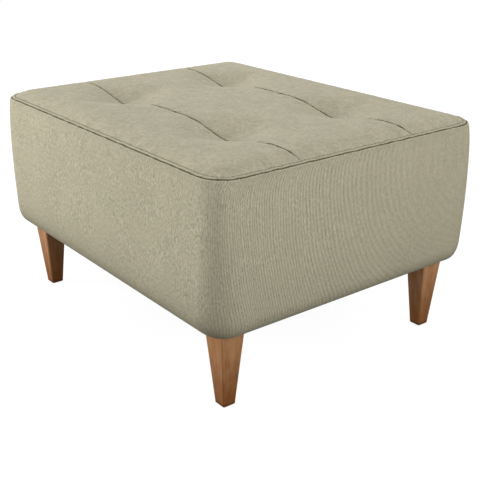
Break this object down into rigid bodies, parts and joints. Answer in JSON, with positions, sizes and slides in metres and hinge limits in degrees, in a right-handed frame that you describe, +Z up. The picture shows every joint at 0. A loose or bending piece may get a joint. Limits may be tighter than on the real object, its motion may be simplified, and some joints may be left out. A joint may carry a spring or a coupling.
{
  "type": "upholstered footstool",
  "caption": "Rectangular upholstered footstool with a tufted, seamed cushion top, softly swollen sides and square tapered wooden legs.",
  "frame": {"origin": "on the floor, under the middle of the footstool", "axes": "+X along the length, -Y out of the front, +Z up"},
  "size_m": [0.7618, 0.6158, 0.4336],
  "materials": {
    "cover_fabric": "soft brushed weave with fine ribs, sage beige",
    "dust_fabric": "thin black non-woven",
    "wadding": "loose polyester wadding",
    "foam": "open-cell seat foam",
    "plywood": "raw plywood",
    "pine": "raw planed pine",
    "fibreboard": "raw fibreboard",
    "leg_wood": "warm brown stained wood under satin lacquer",
    "zinc_steel": "bright zinc plate",
    "insert_brass": "plain turned",
    "glide_plastic": "dark brown nylon",
    "twine": "waxed twine",
    "washer_plastic": "black moulded plastic"
  },
  "bodies": {
    "root": {"cover_band": "cover_fabric", "cover_top_front": "cover_fabric", "cover_top_centre": "cover_fabric", "cover_top_back": "cover_fabric", "dust_cover": "dust_fabric", "top_wadding": "wadding", "foam_slab": "foam", "side_foam_front": "foam", "side_foam_back": "foam", "side_foam_left": "foam", "side_foam_right": "foam", "deck_panel": "plywood", "deck_bearer": "pine", "top_rail_front": "pine", "top_rail_back": "pine", "top_rail_left": "pine", "top_rail_right": "pine", "low_rail_front": "pine", "low_rail_back": "pine", "low_rail_left": "pine", "low_rail_right": "pine", "post_front_left": "pine", "post_front_right": "pine", "post_back_left": "pine", "post_back_right": "pine", "skin_front": "fibreboard", "skin_back": "fibreboard", "skin_left": "fibreboard", "skin_right": "fibreboard", "leg_front_left": "leg_wood", "leg_front_right": "leg_wood", "leg_back_left": "leg_wood", "leg_back_right": "leg_wood", "leg_bolts": "zinc_steel", "leg_inserts": "insert_brass", "leg_glides": "glide_plastic", "tuft_twines": "twine", "tuft_washers": "washer_plastic"}
  },
  "joints": []
}
